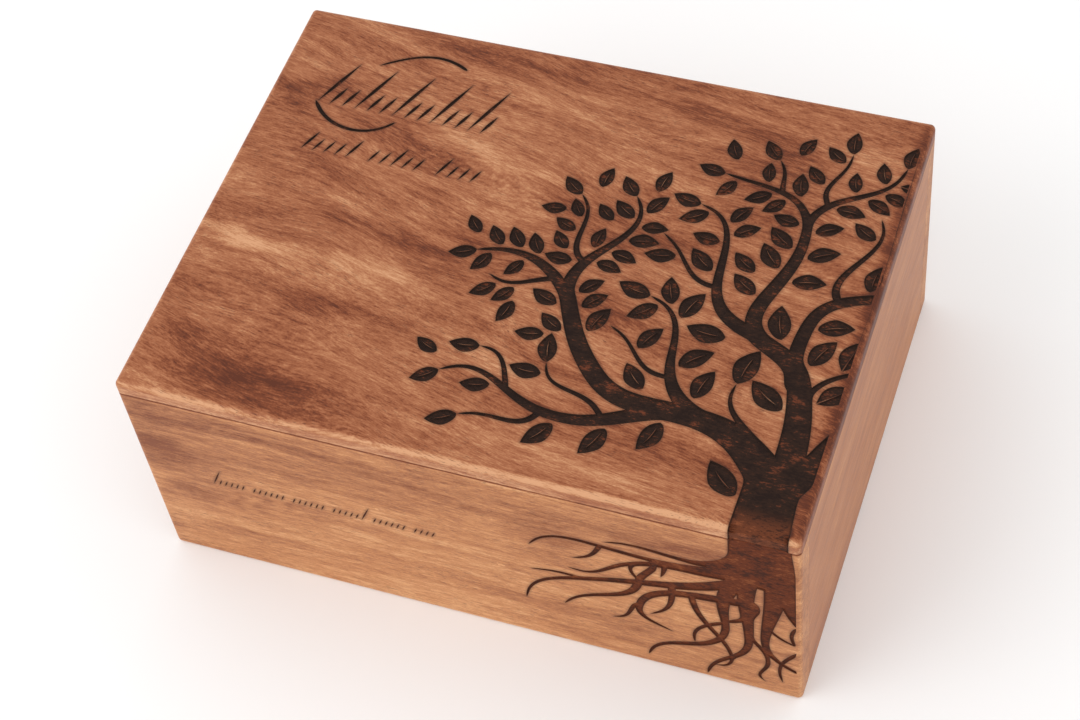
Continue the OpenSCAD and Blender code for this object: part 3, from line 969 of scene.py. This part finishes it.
def wood(nodes, turn, sway, shift, weight):
    """Patterns of one board in grain coordinates: the figure around 0.5, its fibres and its pores."""
    grain = in_millimetres(nodes, turn)
    grain = swayed(nodes, grain, stretched(nodes, grain, *GRAIN_BEND, shift), (0.0, sway, sway))
    figure = 0.5
    for k, (name, along, across, share) in enumerate(LAYERS):
        place = stretched(nodes, grain, along, across, shift + LAYER_SHIFT * k)
        pattern = nodes.noise(place, detail=2, rough=0.55)
        share *= weight
        figure = nodes.math("ADD", figure, nodes.math("MULTIPLY_ADD", pattern, share, -share / 2))
        if name == "fibre":
            fibre = pattern
    pores = nodes.noise(stretched(nodes, grain, *PORE, shift + PORE_SHIFT), detail=1)
    field = nodes.noise(stretched(nodes, grain, *PORE_FIELD, shift + FIELD_SHIFT), detail=2)
    field = nodes.step(field, *FIELD_SHARP)
    pores = nodes.math("MULTIPLY", nodes.step(pores, *PORE_SHARP), field)
    return figure, fibre, pores


def upright(nodes, place):
    axes = nodes.tree.nodes.new("ShaderNodeSeparateXYZ")
    nodes.put(axes.inputs[0], place)
    return axes.outputs


def edge_wear(nodes, bottom, top):
    """1 along the edges of a block that is as wide and deep as the box and reaches from bottom to top."""
    place = in_millimetres(nodes)
    x, y, z = upright(nodes, place)
    x = nodes.math("SUBTRACT", HALF_W / MM, nodes.math("ABSOLUTE", x))
    y = nodes.math("SUBTRACT", HALF_D / MM, nodes.math("ABSOLUTE", y))
    above = nodes.math("SUBTRACT", z, bottom / MM)
    z = nodes.math("MINIMUM", above, nodes.math("SUBTRACT", top / MM, z))
    low = nodes.math("MINIMUM", x, y)
    middle = nodes.math("MAXIMUM", low, nodes.math("MINIMUM", nodes.math("MAXIMUM", x, y), z))
    patchy = nodes.noise(place, scale=WEAR_SCALE, detail=3, rough=0.6)
    reach = nodes.math("MULTIPLY_ADD", patchy, *WEAR_REACH)
    return nodes.math("SUBTRACT", 1.0, nodes.math("DIVIDE", middle, reach), clamp=True)


def painted_seam_shade(nodes, figure, side):
    """Paints shade along the seam under the lid: darker wood where shade falls between the lid and the
    box. side is 1 above the seam and -1 below it.
    """
    z = upright(nodes, in_millimetres(nodes))[2]
    line = nodes.step(z, *(SEAM / MM + side * reach for reach in PAINTED_SEAM_REACH))
    return nodes.math("MULTIPLY_ADD", line, -PAINTED_SEAM_SHADE, figure)


def oiled(nodes, figure, fibre, pores, palette):
    """Shade, roughness and height of bare oiled wood."""
    shade = nodes.ramp(figure, [(at, colour(*rgb)) for at, *rgb in palette])
    shade = nodes.mix(nodes.math("MULTIPLY", pores, PORE_DARK), shade, PORE_SHADE)
    rough = nodes.math("MULTIPLY_ADD", fibre, *WOOD_ROUGH)
    height = nodes.math("MULTIPLY", fibre, FIBRE_HIGH)
    height = nodes.math("MULTIPLY_ADD", pores, PORE_DEEP, height)
    return shade, rough, height


def coal(nodes, mottle, tones):
    """Shade of a burnt floor, from three tones: deep, middle and where the wood shows through."""
    deep, middle, bare = tones
    return nodes.ramp(mottle, tuple(zip(COAL_STOPS, (deep, middle, middle, bare))))


def charred(nodes, parts, mottle, burn, rim):
    """Lays the burnt shade over the wood, darker along the rim, with a seared line outside it."""
    shade, rough, height = parts
    burnt = nodes.add("Attribute", out=2, attribute_name="burnt")
    shore = nodes.add("Attribute", out=2, attribute_name="shore")
    for reach, strength in ((SCORCHED, SCORCH), (SEARED, SEAR)):
        shade = nodes.mix(nodes.step(shore, -reach, 0.0, 0.0, strength), shade, rim)
    near = nodes.step(shore, 0.0, RIM_BAND, RIM_CHAR, 0.0)
    shade = nodes.mix(burnt, shade, nodes.mix(near, burn, rim))
    rough = nodes.add("Mix", {0: burnt, 2: rough, 3: BURNT_ROUGH})
    height = nodes.add("Mix", {0: burnt, 2: height, 3: mottle})
    return shade, rough, height


def mottled(nodes, place, shift):
    """Uneven burning: patches, and flecks drawn out along the grain."""
    patch = nodes.noise(stretched(nodes, place, *PATCH, shift), detail=3, rough=0.6)
    fleck = nodes.noise(stretched(nodes, place, *FLECK, shift), detail=3, rough=0.65)
    return nodes.math("MULTIPLY_ADD", nodes.math("SUBTRACT", fleck, 0.5), FLECK_SHARE, patch)


def front_round_wear_and_highlight(nodes, place):
    """The band on the lid's front rounding, worn wood with a painted highlight, paler to the right, and
    the pale rim below it.
    """
    x, y, z = upright(nodes, place)
    wave = nodes.noise(stretched(nodes, place, *WAVE), detail=3)
    y = nodes.math("MULTIPLY_ADD", wave, WAVE_REACH, nodes.math("SUBTRACT", y, WAVE_REACH / 2))
    band = nodes.math("MULTIPLY", nodes.step(y, *WEAR_AND_HIGHLIGHT_Y), nodes.step(z, *WEAR_AND_HIGHLIGHT_Z))
    band = nodes.math("MULTIPLY", band, nodes.step(x, *WEAR_AND_HIGHLIGHT_X, *WEAR_AND_HIGHLIGHT_LIFT))
    return nodes.math("ADD", band, nodes.step(y, *RIM_Y, 0.0, RIM_LIFT))


def lid_material():
    nodes = Nodes("lid_wood")
    figure, fibre, pores = wood(nodes, turn=(0, 0, 11), sway=30.0, shift=5.0, weight=1.0)
    place = in_millimetres(nodes)
    drifted = swayed(nodes, place, stretched(nodes, place, *CLOUD_SWAY), LID_DRIFT)
    figure = with_clouds(nodes, drifted, figure, TOP / MM, LID_CLOUDS)
    # the knot, and painted shade with darker grain along the right edge
    figure = with_clouds(nodes, place, figure, TOP / MM, LID_KNOT_AND_EDGE_SHADE)
    figure = nodes.math("MULTIPLY_ADD", edge_wear(nodes, SEAM, TOP), WEAR, figure)
    # worn wood with a painted highlight on the front rounding, and the paler rim below it
    figure = nodes.math("ADD", figure, front_round_wear_and_highlight(nodes, place))
    # painted shade along the seam
    figure = painted_seam_shade(nodes, figure, 1)
    parts = oiled(nodes, figure, fibre, pores, LID_PALETTE)
    mottle = mottled(nodes, place, shift=9.0)
    y = upright(nodes, place)[1]
    uneven = nodes.math("ADD", mottle, nodes.step(y, *SHOWING_Y, 0.0, SHOWING))
    fresh = coal(nodes, uneven, FRESH)
    faded = coal(nodes, mottle, FADED)
    worn = nodes.step(nodes.math("MULTIPLY_ADD", mottle, FADED_EDGE, y), *FADED_Y)
    burn = nodes.mix(worn, fresh, faded)
    return nodes.finish(*charred(nodes, parts, mottle, burn, LID_RIM))


def front_material():
    nodes = Nodes("front_wood")
    figure, fibre, pores = wood(nodes, turn=(0, 0, 0), sway=10.0, shift=47.0, weight=1.2)
    place = in_millimetres(nodes, (-90, 0, 0))
    drifted = swayed(nodes, place, stretched(nodes, place, *CLOUD_SWAY), FRONT_DRIFT)
    figure = with_clouds(nodes, drifted, figure, HALF_D / MM, FRONT_CLOUDS)
    figure = nodes.math("ADD", figure, FRONT_LIFT)
    figure = nodes.math("MULTIPLY_ADD", edge_wear(nodes, 0, SEAM), WEAR, figure)
    # painted shade along the seam
    figure = painted_seam_shade(nodes, figure, -1)
    parts = oiled(nodes, figure, fibre, pores, FRONT_PALETTE)
    mottle = mottled(nodes, place, shift=21.0)
    burn = coal(nodes, mottle, ROOTS)
    return nodes.finish(*charred(nodes, parts, mottle, burn, FRONT_RIM))


def plain_material(name, turn, shift):
    """A plain board. turn sets the way its grain runs, and shift takes it from other wood."""
    nodes = Nodes(name)
    figure, fibre, pores = wood(nodes, turn, sway=8.0, shift=shift, weight=0.9)
    figure = nodes.math("MULTIPLY_ADD", edge_wear(nodes, 0, SEAM), PLAIN_WEAR, figure)
    # painted shade along the seam
    figure = painted_seam_shade(nodes, figure, -1)
    pores = nodes.math("MULTIPLY", pores, PLAIN_PORES)
    return nodes.finish(*oiled(nodes, figure, fibre, pores, SIDE_PALETTE))


# ---------- the studio ----------

# Angles in degrees, lens and sensor in millimetres, everything else here in metres and watts.
FLOOR_SIZE = 20
FLOOR_SHADE = (0.96, 0.96, 0.96, 1)
FLOOR_ROUGH = 0.8
KEY_WAY = (-0.55, -0.60, 0.80)  # the way to the light from the middle of the box
KEY_DISTANCE = 1.6
KEY_SIZE = 0.9
KEY_POWER = 5
CAMERA_AZIMUTH = 26.2
CAMERA_ELEVATION = 53.5
CAMERA_ROLL = -9.0
CAMERA_DISTANCE = 0.826
CAMERA_LENS = 78
CAMERA_SENSOR = 36
CAMERA_AIM = (18.6 * MM, -46.5 * MM, TOP)


def build_floor():
    bm = bmesh.new()
    bmesh.ops.create_grid(bm, x_segments=1, y_segments=1, size=FLOOR_SIZE)
    mesh = bpy.data.meshes.new("floor")
    bm.to_mesh(mesh)
    bm.free()
    floor = new_object("floor", mesh)
    nodes = Nodes("pale_floor")
    shader = nodes.add("BsdfPrincipled", {"Base Color": FLOOR_SHADE, "Roughness": FLOOR_ROUGH})
    nodes.add("OutputMaterial", {"Surface": shader})
    mesh.materials.append(nodes.material)


def build_light():
    """White light from all round, and a soft square one that faces the box."""
    world = bpy.data.worlds.new("studio")
    bpy.context.scene.world = world
    world.use_nodes = True
    sky = world.node_tree.nodes["Background"].inputs
    sky["Color"].default_value = (1, 1, 1, 1)
    sky["Strength"].default_value = 1.0
    data = bpy.data.lights.new("key", "AREA")
    data.size, data.energy = KEY_SIZE, KEY_POWER
    light = new_object("key", data)
    way = Vector(KEY_WAY).normalized()
    light.location = Vector((0, 0, TOP / 2)) + KEY_DISTANCE * way
    light.rotation_euler = way.to_track_quat("Z", "Y").to_euler()
    bpy.context.scene.view_settings.view_transform = "Standard"


def build_camera():
    data = bpy.data.cameras.new("camera")
    data.lens = CAMERA_LENS
    data.sensor_width = CAMERA_SENSOR
    camera = new_object("camera", data)
    az, el = math.radians(CAMERA_AZIMUTH), math.radians(CAMERA_ELEVATION)
    back = Vector((math.sin(az) * math.cos(el), -math.cos(az) * math.cos(el), math.sin(el)))
    camera.location = Vector(CAMERA_AIM) + CAMERA_DISTANCE * back
    turn = back.to_track_quat("Z", "Y")
    roll = Quaternion((0, 0, 1), math.radians(CAMERA_ROLL))
    camera.rotation_euler = (turn @ roll).to_euler()
    bpy.context.scene.camera = camera


# ---------- the scene ----------

build_camera()
build_light()
build_floor()
front_wood, lid_wood = front_material(), lid_material()
side_wood = plain_material("side_wood", (0, 0, 90), 83.0)
bottom_wood = plain_material("bottom_wood", (0, 0, 0), 140.0)
for piece, material in (
    (build_lid(), lid_wood),
    (build_front(), front_wood),
    (build_back(), front_wood),
    (build_side("left", -1, "left_side"), side_wood),
    (build_side("right", 1, "right_side"), side_wood),
    (build_bottom(), bottom_wood),
):
    piece.data.materials.append(material)
